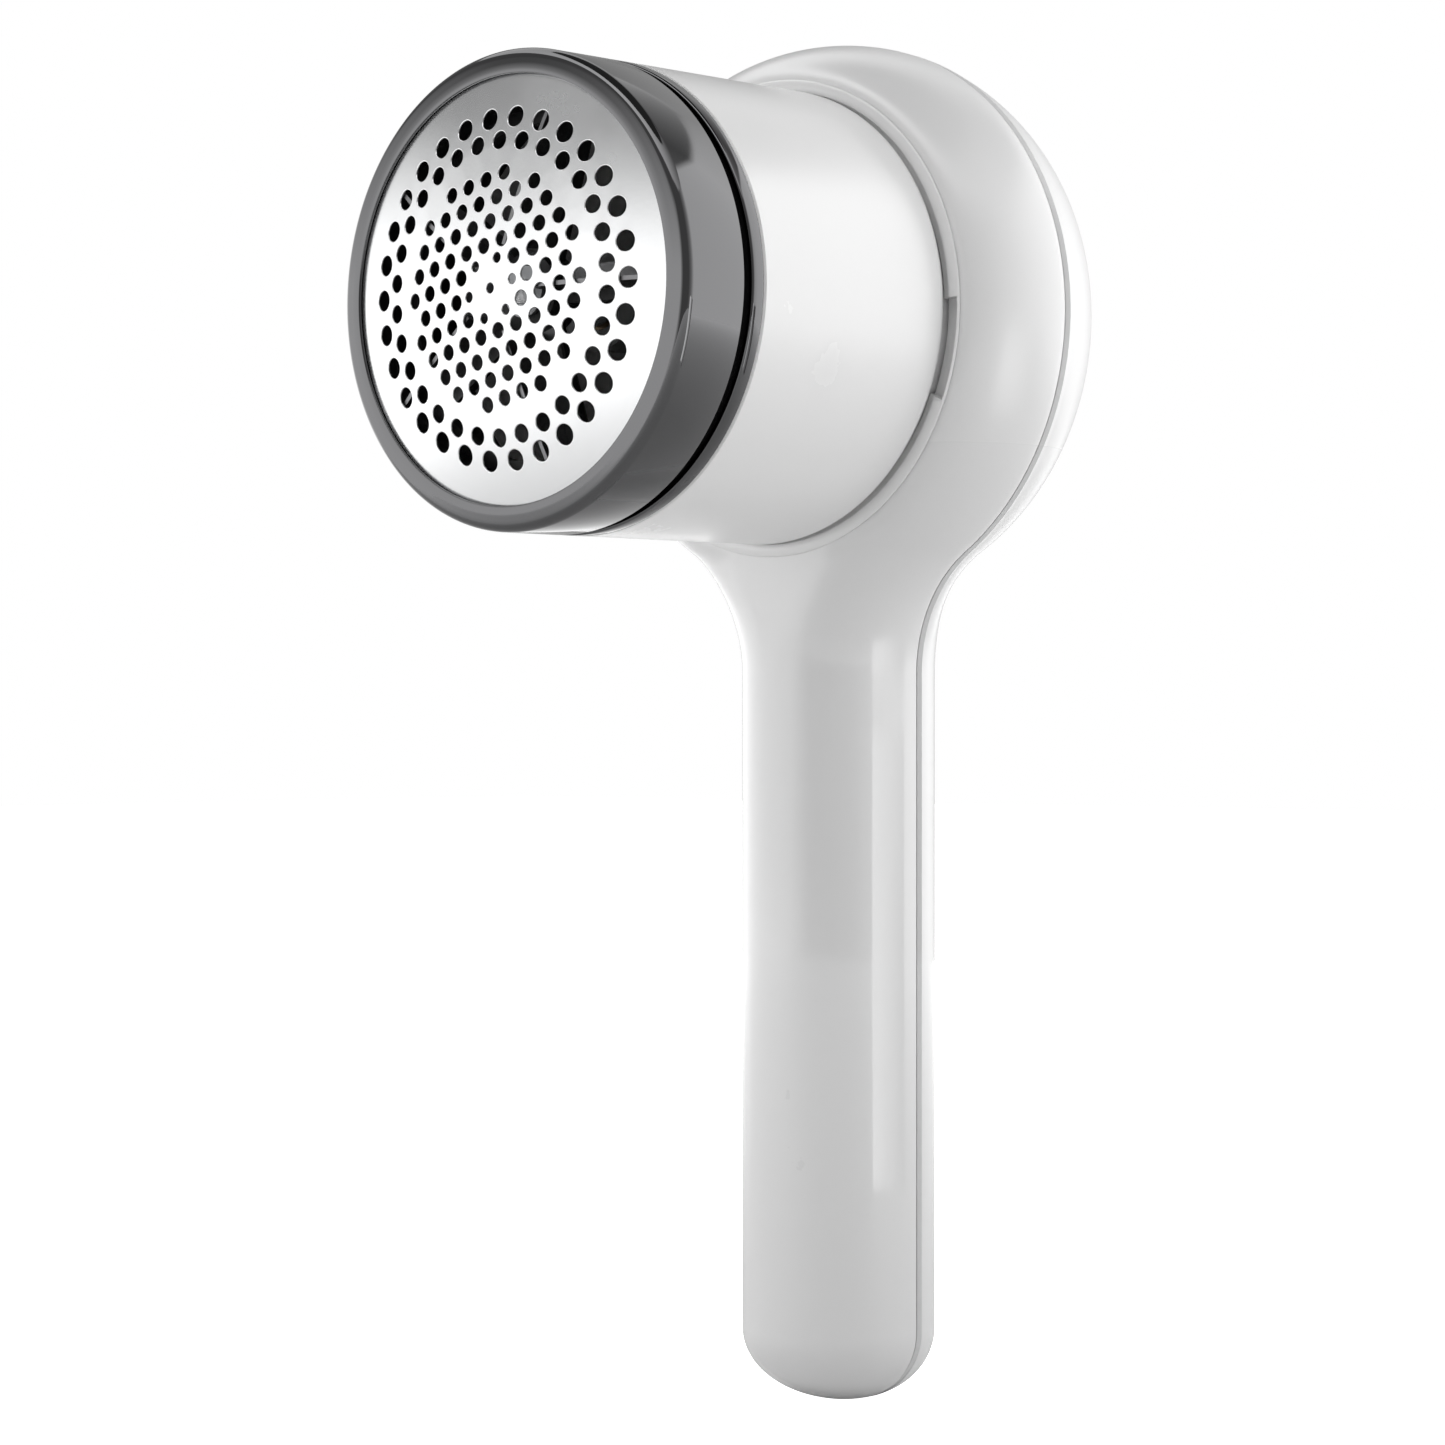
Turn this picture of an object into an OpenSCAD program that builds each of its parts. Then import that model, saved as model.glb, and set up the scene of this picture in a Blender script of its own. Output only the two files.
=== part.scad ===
// Fabric shaver: a round shaving head on a slim upright grip.
// Frame: +Z up, the foil faces -Y, the origin is under the middle of the part at its lowest point.
// Inside the modules, y is the depth behind the foil's visible edge and z is the height over the
// cutter's axis; place() moves that into the part's own frame.

/* [Foil] */
// Radius of the foil that shows inside the guard ring
foil_r = 25; // [24.8:0.1:25.2]
// How far the middle of the foil stands in front of its visible edge
foil_rise = 3.3; // [3:0.1:3.6]
// Thickness of the foil sheet
foil_t = 0.3; // [0.25:0.05:0.35]
// Number of holes in each of the two outer rings
ring_holes = 30; // [24:1:30]
// Radius of the outer ring of holes
outer_ring_r = 19.9; // [19.5:0.1:20.2]
// Radius of the second ring of holes
inner_ring_r = 17.2; // [17:0.1:17.4]
// Diameter of the holes in the outer ring
outer_hole_d = 2.4; // [2:0.1:2.6]
// Diameter of the holes in the second ring
inner_hole_d = 2.1; // [1.8:0.1:2.2]
// Spacing of the honeycomb of holes in the middle
comb_pitch = 2.93; // [2.8:0.01:3]
// Diameter of the honeycomb holes
comb_hole_d = 1.8; // [1.4:0.1:2]
// Turn of the honeycomb against level, degrees
comb_turn = 13.4; // [0:0.1:60]

/* [Guard ring and cup] */
// Outer radius of the guard ring, the trim ring and the lint cup
barrel_r = 28; // [27.9:0.1:28.1]
// Depth at which the guard ring's skirt ends
guard_end = 9.6; // [9.4:0.1:9.8]
// Depth at which the trim ring starts
trim_start = 11.05; // [10.9:0.05:11.2]
// Depth at which the white wall of the cup starts
cup_start = 13.1; // [13:0.05:13.3]
// Depth at which the cup rests on the collar
cup_end = 46.1; // [46:0.05:46.15]
// Turn of the guard ring from locked to free, degrees
guard_turn = 60; // [50:1:60]
// How far the guard ring and foil rise in that turn
guard_lift = 3; // [2.6:0.1:3]

/* [Head] */
// Largest radius of the head
head_r = 35; // [34.8:0.1:35.2]
// Radius at which the head's rounded front starts
face_r = 29.5; // [29.4:0.1:29.6]
// Radius of the flat on the back of the head
back_r = 25.2; // [24.5:0.1:25.5]
// Depth of the head's front face
face_depth = 46.6; // [46.5:0.05:46.7]
// Depth at which the head is widest
wide_depth = 58.6; // [58.2:0.1:58.8]
// Depth of the seam between the two shells
seam_depth = 60.6; // [60.6:0.1:60.8]
// Depth of the flat back
back_depth = 74; // [74:0.1:74.4]

/* [Grip] */
// Half of the grip's width
grip_half = 11.66; // [11.5:0.02:11.9]
// Depth of the grip's front
grip_front = 46.3; // [46.1:0.1:46.4]
// Depth of the grip's back
grip_back = 69.7; // [69.6:0.1:69.9]
// Radius of the hollow curve between head and grip, seen from the front
neck_r = 18; // [17.5:0.5:18.5]
// Height of the cutter's axis over the bottom of the grip
axis_height = 135; // [134:1:137]
// Height of the rounded end of the grip
end_round = 9; // [8.5:0.5:9.5]
// Wall thickness of the grip
grip_wall = 1.85; // [1.8:0.05:1.9]

/* [Drive] */
// Radius of the motor's can
motor_r = 12; // [11.8:0.1:12]
// Radius of the long drive shaft
shaft_r = 1.5; // [1.5:0.01:1.52]
// Number of blades on the cutter
blades = 5; // [3:1:6]

/* [Controls and power] */
// Height of the power button, measured from the cutter's axis
button_z = -58; // [-60:1:-57]
// Radius of the power button
button_r = 4.75; // [4.5:0.05:4.8]
// Travel of the power button
button_travel = 0.4; // [0.3:0.05:0.4]
// Radius of the battery cell
cell_r = 7.1; // [7:0.05:7.1]
// Length of the battery cell
cell_len = 50; // [48:1:50]

/* [Hidden] */
$fn = 96;

// Fits
gap = 0.05;        // pieces that are pressed or glued together
slide_gap = 0.25;  // pieces that slide or turn on each other by hand
run_gap = 0.05;    // shaft in its bush
eps = 0.01;

// Foil: a cap of a large ball
ball_r = (foil_r * foil_r + foil_rise * foil_rise) / (2 * foil_rise);
foil_edge = 0.25;                       // depth of the foil where the lip covers it
apex = foil_edge - foil_rise;           // depth of the foil's middle
ball_depth = apex + ball_r;
foil_rim_r = 26.3;
foil_rim = ball_depth - sqrt(ball_r * ball_r - foil_rim_r * foil_rim_r) + foil_t;
comb_limit = 4.75 * comb_pitch;         // the honeycomb stops before its fifth shell
small_hole_d = 1.2;
small_ring_r = 3.6;

// The part's own frame: the depth range is centred on y = 0
foil_y = -(back_depth + apex) / 2;

// Guard ring and bayonet
lip_depth = -0.25;
lip_t = 0.45;
ring_edge = 1.2;                        // radius of the guard ring's front edge
ring_wall = 1.35;
collar_r = 26.4;
collar_bore = 24.6;
lugs = 3;
lug_arc = 10;
lug_h = 1.6;
lug_depth = 7;
key_arc = 96;                           // angle of the foil keys after each lug
cutter_r = 21.5;

// Cup
cup_bore = 26;
spigot_r = 26.45;
spigot_bore = 25;
spigot_end = 48.6;
bulk_front = 49;
bulk_back = 50.8;
seat_r = spigot_r + slide_gap;

// Head and neck
nose_p = 1.85;                          // fullness of the head's rounded edges
grip_p = 2.2;                           // fullness of the grip's section
reach = head_r + neck_r;
neck_z = -sqrt(reach * reach - pow(grip_half + neck_r, 2));
join_z = neck_z * head_r / reach;       // where the neck leaves the round head
bottom_z = -axis_height;
round_z = bottom_z + end_round;
seam_r = radius_at(seam_depth);
room_r = 32;                            // hollow of the head
room_taper = 66;
room_back = 72.2;
room_back_r = 27;
thin = 0.3;                             // narrowest edge of a section

// Drive train depths
tube_front = 15;
tube_r = 6;
tube_bore = 3.6;
flange_back = 52;
plate_back = 53.6;
can_back = 69.6;
cap_back = 71.9;
ear_x = 18;
hub_front = 3;
hub_back = 7.2;
spoke_front = 4.2;
hex_r = 1.6;
collar_front = 13.2;

// Inside the grip
cell_depth = 56;
cell_top = -50.2;
board_front = 64.6;
board_back = 65.6;
board_top = -46;
board_bottom = -126;
screw_x = 18.5;
screw_z = 12;
neck_screw_z = -38;
lens_z = -112;
usb_depth = 62.85;
flange_r = button_r + 0.75;
well_r = 6;                             // hole in the rear shell for button and bezel

// ---- helpers -------------------------------------------------------------

module place() translate([0, foil_y, axis_height]) children();

// Solid of revolution about the cutter's axis; points are [radius, depth]
module turned(points) rotate([-90, 0, 0]) rotate_extrude() polygon(points);

module rod(r, y0, y1, x = 0, z = 0) translate([x, y0, z]) rotate([-90, 0, 0]) cylinder(r = r, h = y1 - y0);

module tube(r, bore, y0, y1, x = 0, z = 0) difference() {
    rod(r, y0, y1, x, z);
    rod(bore, y0 - 1, y1 + 1, x, z);
}

module block(x, y, z) translate([x[0], y[0], z[0]]) cube([x[1] - x[0], y[1] - y[0], z[1] - z[0]]);

// Points of a rounded corner: centre, radius, first and last angle
function corner(c, r, a0, a1, n = 6) = [for (i = [0:n]) c + r * [cos(a0 + (a1 - a0) * i / n),
                                                                 sin(a0 + (a1 - a0) * i / n)]];

// Skin over a stack of closed rings that all have the same number of points
module skin(rings) {
    n = len(rings[0]);
    m = len(rings);
    points = [for (ring = rings) for (p = ring) p];
    sides = [for (i = [0:m - 2]) for (j = [0:n - 1]) let (a = i * n + j, b = i * n + (j + 1) % n)
             each [[a, b, b + n], [a, b + n, a + n]]];
    ends = [[for (j = [n - 1:-1:0]) j], [for (j = [0:n - 1]) (m - 1) * n + j]];
    polyhedron(points, concat(sides, ends), convexity = 6);
}

// A short run of thread: radii, height along the axis, angles and depths of its two ends
module thread_block(r0, r1, h, a0, a1, d0, d1, n = 6)
    skin([for (i = [0:n]) let (a = a0 + (a1 - a0) * i / n, d = d0 + (d1 - d0) * i / n)
          [for (q = [[r0, -1], [r0, 1], [r1, 1], [r1, -1]])
           [q[0] * cos(a), d + q[1] * h / 2, q[0] * sin(a)]]]);

// ---- shape of the two shells ----------------------------------------------

function radius_at(d) = d < wide_depth
    ? face_r + (head_r - face_r) * fullness((wide_depth - d) / (wide_depth - face_depth))
    : back_r + (head_r - back_r) * fullness((d - wide_depth) / (back_depth - wide_depth));
function fullness(t) = pow(1 - pow(min(max(t, 0), 1), nose_p), 1 / nose_p);

// Depths between which the round head reaches the height z
function head_near(z) = wide_depth
    - (wide_depth - face_depth) * fullness((abs(z) - face_r) / (head_r - face_r));
function head_far(z) = wide_depth
    + (back_depth - wide_depth) * fullness((abs(z) - back_r) / (head_r - back_r));
function head_x(d, z) = sqrt(max(pow(radius_at(d), 2) - z * z, thin * thin));

// Neck and grip: half width, and how far the section has turned into the grip's
function below(z) = max(0, join_z - z);
function neck_x(z) = z < neck_z ? grip_half
    : grip_half + neck_r - sqrt(neck_r * neck_r - pow(z - neck_z, 2));
function ease(t) = t * t * (3 - 2 * t);
function turn_in(z) = ease(min(1, below(z) / (join_z - neck_z)));
end_turn = 75;                          // angle of the end's rounding, which leaves a small flat
function end_scale(z) = z > round_z ? 1
    : sqrt(1 - pow((round_z - z) / end_round * sin(end_turn), 2));
function near(z) = z > join_z ? head_near(z)
    : seam_depth - (seam_depth - grip_front - (face_depth - grip_front) * (1 - turn_in(z)))
      * end_scale(z);
back_fall = 7.3;                        // height over which the head's back runs out into the grip's
function far(z) = z > join_z ? head_far(z)
    : seam_depth + (grip_back - seam_depth + (head_far(join_z) - grip_back)
      * pow(max(0, 1 - below(z) / back_fall), 2)) * end_scale(z);

// Half width of the section at height z, where f runs from 0 at the seam to 1 at the front or back
function section_x(z, f, d) = z > join_z ? head_x(d, z)
    : let (k = turn_in(z), s = sin(90 * f),
           grip = neck_x(z) * pow(1 - pow(s, grip_p), 1 / grip_p),
           end = d < seam_depth ? head_near(join_z) : head_far(join_z),
           head = head_x(seam_depth + (end - seam_depth) * s, join_z) * neck_x(z) / neck_x(join_z))
      max(thin, (k * grip + (1 - k) * head) * end_scale(z));

// Heights of the sections, from the top of the head down to the end of the grip
function heights(top) = concat(
    [for (i = [0:20]) let (a = 3.5 + (acos(join_z / top) - 3.5) * i / 20) top * cos(a)],
    [for (i = [1:6]) join_z + (neck_z - join_z) * i / 6],
    [for (i = [0:8]) round_z - end_round * sin(end_turn * i / 8) / sin(end_turn)]);

steps = 9;
function half_ring(z, end) = let (start = min(seam_depth, far(z)),
    side = [for (i = [0:steps]) let (f = i / steps, d = start + (end - start) * sin(90 * f))
            [section_x(z, f, d), d, z]])
    concat(side, [for (i = [steps:-1:0]) [-side[i][0], side[i][1], z]]);

function reversed(list) = [for (i = [len(list) - 1:-1:0]) list[i]];

module front_body() skin([for (z = heights(head_r)) reversed(half_ring(z, near(z)))]);
module rear_body() skin([for (z = heights(seam_r)) half_ring(z, far(z))]);

// Inside of the grip: the same section, one wall smaller
function channel_side(b, n = 8) = [for (i = [0:n]) let (f = i / n)
    [(grip_half - grip_wall) * pow(1 - pow(sin(90 * f), grip_p), 1 / grip_p),
     seam_depth + b * sin(90 * f)]];
module channel(b, z0, z1) {
    side = channel_side(b);
    back = [for (i = [len(side) - 2:-1:0]) [-side[i][0], side[i][1]]];
    translate([0, 0, z0]) linear_extrude(z1 - z0) polygon(concat(side, back));
}

// ---- foil, guard and cup -----------------------------------------------------

module guard_ring() color([0.22, 0.22, 0.23]) place() union() {
    bore = barrel_r - ring_wall;
    turned(concat([[foil_r, lip_depth]],
                  corner([barrel_r - ring_edge, lip_depth + ring_edge], ring_edge, -90, 0),
                  [[barrel_r, guard_end], [bore, guard_end], [bore, lip_depth + lip_t],
                   [foil_r, lip_depth + lip_t]]));
    for (i = [0:lugs - 1])
        thread_block(collar_r - 0.85, bore + 0.3, lug_h, i * 360 / lugs, i * 360 / lugs + lug_arc,
                     lug_depth, lug_depth - guard_lift * lug_arc / guard_turn);
}

module hole(d, r, a) rod(d / 2, apex - 1, foil_rim + 1, r * cos(a), r * sin(a), $fn = 24);

module foil_holes() {
    for (i = [0:ring_holes - 1]) {
        hole(outer_hole_d, outer_ring_r, i * 360 / ring_holes);
        hole(inner_hole_d, inner_ring_r, (i + 0.5) * 360 / ring_holes);
    }
    for (u = [-5:5], v = [-5:5]) {
        x = comb_pitch * (u + v / 2);
        z = comb_pitch * v * sqrt(3) / 2;
        r = norm([x, z]);
        if (r > 1.5 * comb_pitch && r < comb_limit) hole(comb_hole_d, r, atan2(z, x) + comb_turn);
    }
    for (i = [0:5]) hole(small_hole_d, small_ring_r, i * 60 + comb_turn);
    hole(small_hole_d, 0, 0);
}

module cutting_foil() color([0.78, 0.79, 0.8]) place() difference() {
    intersection() {
        rod(foil_rim_r, apex - 1, foil_rim + 1);
        translate([0, ball_depth, 0]) difference() {
            sphere(ball_r, $fn = 160);
            sphere(ball_r - foil_t, $fn = 160);
        }
    }
    foil_holes();
}

// Ring behind the foil; its keys slide in the collar, so the foil lifts off without turning
module foil_frame() color([0.1, 0.1, 0.11]) place() union() {
    tube(foil_rim_r, 23.4, foil_rim + 0.02, 2.3);
    for (i = [0:lugs - 1]) rotate([0, -key_arc - i * 360 / lugs, 0]) intersection() {
        block([20, 30], [foil_rim + 0.1, 7.5], [-1.5, 1.5]);
        tube(25.2, 23.9, 0, 8);
    }
}

module bayonet_collar() color([0.06, 0.06, 0.065]) place() {
    rise = guard_lift / guard_turn;      // depth gained per degree
    slack = 1.5;                         // degrees of play at each end of a groove
    last = guard_turn + lug_arc + slack;
    difference() {
        union() {
            tube(collar_r, collar_bore, 2.6, cup_start);
            tube(cup_bore - gap, collar_bore, cup_start - 0.5, 17);
        }
        for (i = [0:lugs - 1]) rotate([0, -i * 360 / lugs, 0]) {
            thread_block(collar_r - 1.1, collar_r + 0.3, lug_h + 0.6, -slack, last,
                         lug_depth + slack * rise, lug_depth - last * rise, n = 14);
            thread_block(collar_r - 1.1, collar_r + 0.3, 3, guard_turn - slack, last, 3, 3, n = 4);
            rotate([0, -key_arc, 0]) block([20, 25.4], [2, 12], [-1.75, 1.75]);
        }
    }
}

module trim_ring() color([0.24, 0.24, 0.25]) place() turned(concat(
    corner([barrel_r - 0.3, trim_start + 0.3], 0.3, -90, 0, 3),
    [[barrel_r, cup_start - gap], [collar_r + gap, cup_start - gap], [collar_r + gap, trim_start]]));

module lint_cup() color([0.93, 0.93, 0.93]) place() turned(concat(
    [[cup_bore, cup_start], [barrel_r - 0.2, cup_start], [barrel_r, cup_start + 0.2]],
    corner([barrel_r - 1.5, cup_end - 1.5], 1.5, 0, 90),
    [[spigot_r, cup_end], [spigot_r, spigot_end - 0.4], [spigot_r - 0.4, spigot_end],
     [spigot_bore, spigot_end], [spigot_bore, 44.5], [cup_bore, 43]]));

// ---- housing -------------------------------------------------------------------

notch_top = 1.6;                        // angles of the notch's ends from level
notch_bottom = -23;
notch_r = 29.2;                         // outer wall of the notch
notch_depth = 47.8;                     // floor of the notch
lip_seat_r = 28.4;

// Pocket beside the cup for a fingertip, back to the depth y
module notch(y) rotate([-90, 0, 0]) rotate([0, 0, -notch_top])
    rotate_extrude(angle = notch_top - notch_bottom)
        polygon([[spigot_r, cup_end], [notch_r, cup_end], [notch_r, y], [spigot_r, y]]);

// Bright lip that the cup rests on, with the finger notch on its right side
module collar_ring() color([0.95, 0.95, 0.95]) place() difference() {
    turned([[seat_r, cup_end + 0.15], [face_r - 0.2, cup_end + 0.15], [face_r, cup_end + 0.3],
            [face_r, face_depth - gap], [lip_seat_r - gap, face_depth - gap],
            [lip_seat_r - gap, 48.5], [seat_r, 48.5]]);
    notch(notch_depth);
}

module screw_posts(r, y0, y1) for (s = [-1, 1]) rod(r, y0, y1, s * screw_x, screw_z);

module front_housing() color([0.92, 0.92, 0.92]) place() difference() {
    union() {
        difference() {
            front_body();
            rod(room_r, bulk_back, seam_depth + 1);
            channel(grip_front + grip_wall - seam_depth, round_z - 1, -20);
            channel(1, round_z - 1, -20);
        }
        screw_posts(3.2, bulk_back - 1, seam_depth - gap);
        rod(2.8, grip_front + 1, seam_depth - gap, 0, neck_screw_z);
        for (s = [-1, 1]) rod(3, bulk_back - 1, flange_back + 0.1, s * ear_x);
    }
    rod(seat_r, face_depth - 5, bulk_front);
    rod(lip_seat_r, face_depth - 5, 48.5 + gap);
    notch(notch_depth);
    rod(tube_r + gap, bulk_front - 1, bulk_back + 1);
    screw_posts(0.95, 54, seam_depth + 1);
    rod(0.95, 54, seam_depth + 1, 0, neck_screw_z);
    for (s = [-1, 1]) rod(0.95, bulk_front + 0.7, flange_back + 1, s * ear_x);
}

module rear_housing() color([0.9, 0.9, 0.9]) place() difference() {
    union() {
        difference() {
            rear_body();
            turned([[0, seam_depth - 1], [room_r, seam_depth - 1], [room_r, room_taper],
                    [room_back_r, room_back], [0, room_back]]);
            channel(grip_back - grip_wall - seam_depth, round_z - 1, -20);
            channel(-1, round_z - 1, -20);
        }
        screw_posts(3.4, seam_depth + gap, room_back + 0.5);
        rod(3.3, seam_depth + gap, grip_back - 1, 0, neck_screw_z);
        difference() {
            tube(14.6, 13.3, 62, room_back + 0.5);
            block([-8, 8], [60, room_back], [-20, -5]);
        }
        for (s = [-1, 1], z = [-72, -104]) rod(1.2, board_back, 67.6, s * 4.6, z);
    }
    screw_posts(1.05, seam_depth - 1, back_depth);
    screw_posts(2.5, 70, back_depth + 1);
    rod(1.05, seam_depth - 1, back_depth, 0, neck_screw_z);
    rod(2.5, 66.4, back_depth + 1, 0, neck_screw_z);
    rod(well_r, board_back + 0.3, back_depth, 0, button_z);
    rod(1.55, board_back + 0.3, back_depth, 0, lens_z);
    usb_outline(4.7, 1.85, bottom_z - 1, round_z + 2);
}

module screw(head_y, tip, r, head_r, head_h, x, z) difference() {
    union() {
        rod(r, tip, head_y + 2 * eps, x, z);
        rod(head_r, head_y + eps, head_y + head_h, x, z);
    }
    rod(head_r * 0.45, head_y + head_h * 0.4, head_y + head_h + 1, x, z, $fn = 6);
}

module housing_screws() color([0.6, 0.6, 0.62]) place() {
    for (s = [-1, 1]) screw(70, 55, 0.9, 2.3, 1.6, s * screw_x, screw_z);
    screw(66.4, 55, 0.9, 2.3, 1.6, 0, neck_screw_z);
}

// ---- drive -----------------------------------------------------------------------

module bearing_tube() color([0.85, 0.85, 0.86]) place() difference() {
    union() {
        rod(tube_r, tube_front, flange_back);
        rod(9, bulk_back + gap, flange_back);
    }
    rod(tube_bore, tube_front - 1, flange_back + 1);
}

module shaft_bush() color([0.7, 0.5, 0.25]) place()
    tube(tube_bore - gap, shaft_r + run_gap, tube_front + 0.2, tube_front + 5.2);

module motor_mount() color([0.65, 0.66, 0.68]) place() difference() {
    union() {
        rod(14, flange_back + 0.1, plate_back);
        for (s = [-1, 1]) rod(3.5, flange_back + 0.1, plate_back, s * ear_x);
        block([-ear_x, ear_x], [flange_back + 0.1, plate_back], [-3, 3]);
    }
    rod(3.2, flange_back - 1, plate_back + 1);
    for (s = [-1, 1]) rod(1.2, flange_back - 1, plate_back + 1, s * ear_x);
}

module motor_screws() color([0.6, 0.6, 0.62]) place()
    for (s = [-1, 1]) screw(plate_back + eps, bulk_front + 0.9, 0.9, 2.2, 1.3, s * ear_x, 0);

module motor_can() color([0.7, 0.71, 0.73]) place() difference() {
    union() {
        rod(motor_r, plate_back + gap, can_back);
        rod(3, flange_back + 0.3, plate_back + 1);
    }
    rod(1 + run_gap, flange_back - 1, can_back + 1);
}

module motor_end_cap() color([0.12, 0.12, 0.13]) place() difference() {
    union() {
        rod(motor_r - 0.4, can_back + gap, cap_back);
        for (s = [-1, 1]) block([s * 5 - 0.8, s * 5 + 0.8], [70.4, 71.6], [-14, -10]);
    }
    rod(1.3, can_back - 1, cap_back + 1);
}

module motor_sleeve() color([0.15, 0.15, 0.16]) place() tube(13.25, motor_r + gap, 60, 66);

// Two wires from the board up to the motor; they are swept along hand-chosen points
lead_r = 0.5;
lead_route = [[4, 66.2, -48], [4, 66.3, -42], [4, 66.3, -36], [4.3, 66.5, -31], [4.6, 67.7, -26.5],
              [5, 69.6, -22.5], [5, 70.8, -19], [5, 71, -16.5], [5, 71, -14.02]];
module lead() {
    last = len(lead_route) - 1;
    skin([for (i = [0:last])
          let (p = lead_route[i],
               t = lead_route[min(last, i + 1)] - lead_route[max(0, i - 1)],
               side = cross(t, [1, 0, 0]) / norm(cross(t, [1, 0, 0])),
               up = cross(side, t) / norm(t))
          [for (a = [315:-45:0]) let (q = p + lead_r * (cos(a) * up + sin(a) * side))
           i == last ? [q[0], q[1], p[2]] : q]]);
}

module motor_leads() color([0.75, 0.12, 0.1]) place() {
    lead();
    mirror([1, 0, 0]) lead();
}

module motor_shaft() color([0.75, 0.76, 0.78]) place() rod(1, 46.5, 70.6);

module drive_coupling() color([0.2, 0.2, 0.22]) place() difference() {
    rod(3.2, 43, 51.6);
    rod(1 + eps, 46.2, 52);
    rod(shaft_r + eps, 42, 46);
}

module drive_shaft() color([0.75, 0.76, 0.78]) place() union() {
    rod(shaft_r, 9, 45.9);
    rod(hex_r, 1.9, 9.1, $fn = 6);
}

module thrust_collar() color([0.55, 0.56, 0.58]) place()
    tube(3.2, shaft_r + eps, collar_front, tube_front - 0.3);

spring_turns = 4;
spring_steps = 12;
module float_spring() color([0.7, 0.7, 0.72]) place() {
    wire = 0.35;
    mean_r = 2.5;
    start = hub_back + wire + gap;
    length = collar_front - hub_back - 2 * wire - 2 * gap;
    skin([for (i = [0:spring_turns * spring_steps]) let (a = i * 360 / spring_steps)
          [for (b = [300:-60:0]) let (r = mean_r + wire * cos(b))
           [r * cos(a), start + length * i / (spring_turns * spring_steps) + wire * sin(b),
            r * sin(a)]]]);
}

module cutter_clip() color([0.5, 0.5, 0.52]) place()
    difference() {
        rod(3, hub_front - 0.6, hub_front - 0.08);
        rod(hex_r + eps, 0, hub_front, $fn = 6);
    }

module cutter_carrier() color([0.1, 0.1, 0.11]) place() difference() {
    union() {
        rod(4.6, hub_front, hub_back);
        tube(cutter_r, cutter_r - 1.8, spoke_front + 0.2, spoke_front + 1.8);
        for (i = [0:blades - 1]) rotate([0, i * 360 / blades, 0])
            block([2.5, cutter_r - 1], [spoke_front, spoke_front + 2.2], [-1.6, 1.6]);
    }
    rod(hex_r + 0.08, hub_front - 1, hub_back + 1, $fn = 6);
}

// Steel blades of L section; their front edges follow the inside of the foil
module cutter_blades() color([0.72, 0.73, 0.75]) place() intersection() {
    for (i = [0:blades - 1]) rotate([0, i * 360 / blades, 0]) {
        block([5.2, cutter_r], [apex - 1, spoke_front - gap], [-0.25, 0.25]);
        block([5.2, cutter_r], [spoke_front - 0.55, spoke_front - gap], [-0.25, 2.6]);
    }
    translate([0, ball_depth, 0]) sphere(ball_r - foil_t - 0.12, $fn = 160);
}

// ---- controls and power --------------------------------------------------------------

module main_pcb() color([0.1, 0.35, 0.2]) place()
    block([-7, 7], [board_front, board_back], [board_bottom, board_top]);

module tact_switch() color([0.15, 0.15, 0.16]) place() difference() {
    block([-2.3, 2.3], [board_back, board_back + 0.8], [button_z - 2.3, button_z + 2.3]);
    rod(1.1, board_back - 1, board_back + 2, 0, button_z);
}

module switch_plunger() color([0.85, 0.85, 0.8]) place()
    rod(1, board_back + 0.1 + button_travel, 66.9, 0, button_z);

module power_button() color([0.9, 0.9, 0.9]) place() rotate([-90, 0, 0])
    translate([0, -button_z, 0]) rotate_extrude() polygon(concat(
        [[0, 66.9], [flange_r, 66.9], [flange_r, 67.3], [button_r, 67.3]],
        corner([button_r - 0.5, 69.9], 0.5, 0, 80, 4), [[0, 70.6]]));

module button_bezel() color([0.24, 0.24, 0.25]) place() rotate([-90, 0, 0])
    translate([0, -button_z, 0]) rotate_extrude() polygon(concat(
        [[button_r + 0.15, 67.5], [well_r - gap, 67.5]],
        corner([well_r - gap - 0.4, 69.6], 0.4, 0, 90, 4), [[button_r + 0.15, 70]]));

module indicator_led() color([0.95, 0.95, 0.85]) place()
    block([-0.9, 0.9], [board_back, board_back + 0.7], [lens_z - 0.8, lens_z + 0.8]);

module indicator_lens() color([0.85, 0.9, 0.95]) place() rod(1.5, board_back + 1, grip_back - 0.05, 0, lens_z);

module usb_outline(half, r, z0, z1) translate([0, usb_depth, z0]) linear_extrude(z1 - z0)
    polygon(concat(corner([half - r, 0], r, -90, 90, 10), corner([r - half, 0], r, 90, 270, 10)));

module usb_socket() color([0.7, 0.71, 0.73]) place() {
    difference() {
        usb_outline(4.5, 1.6, -133.4, -125.6);
        usb_outline(4.2, 1.3, -134, -127.2);
    }
    block([-3.3, 3.3], [usb_depth - 0.35, usb_depth + 0.35], [-132.4, -127]);
}

module battery_cell() color([0.2, 0.35, 0.65]) place()
    translate([0, cell_depth, cell_top - cell_len]) union() {
        cylinder(r = cell_r, h = cell_len - 1);
        cylinder(r = cell_r - 2, h = cell_len);
    }

module battery_tabs() color([0.8, 0.8, 0.78]) place() {
    block([-2, 2], [52, board_front], [cell_top + gap, cell_top + 0.3]);
    block([-2, 2], [52, board_front], [cell_top - cell_len - 0.3, cell_top - cell_len - gap]);
}

module battery_pad() color([0.2, 0.2, 0.2]) place()
    block([-5, 5], [cell_depth + cell_r + gap, board_front - gap], [-95, -55]);

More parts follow.
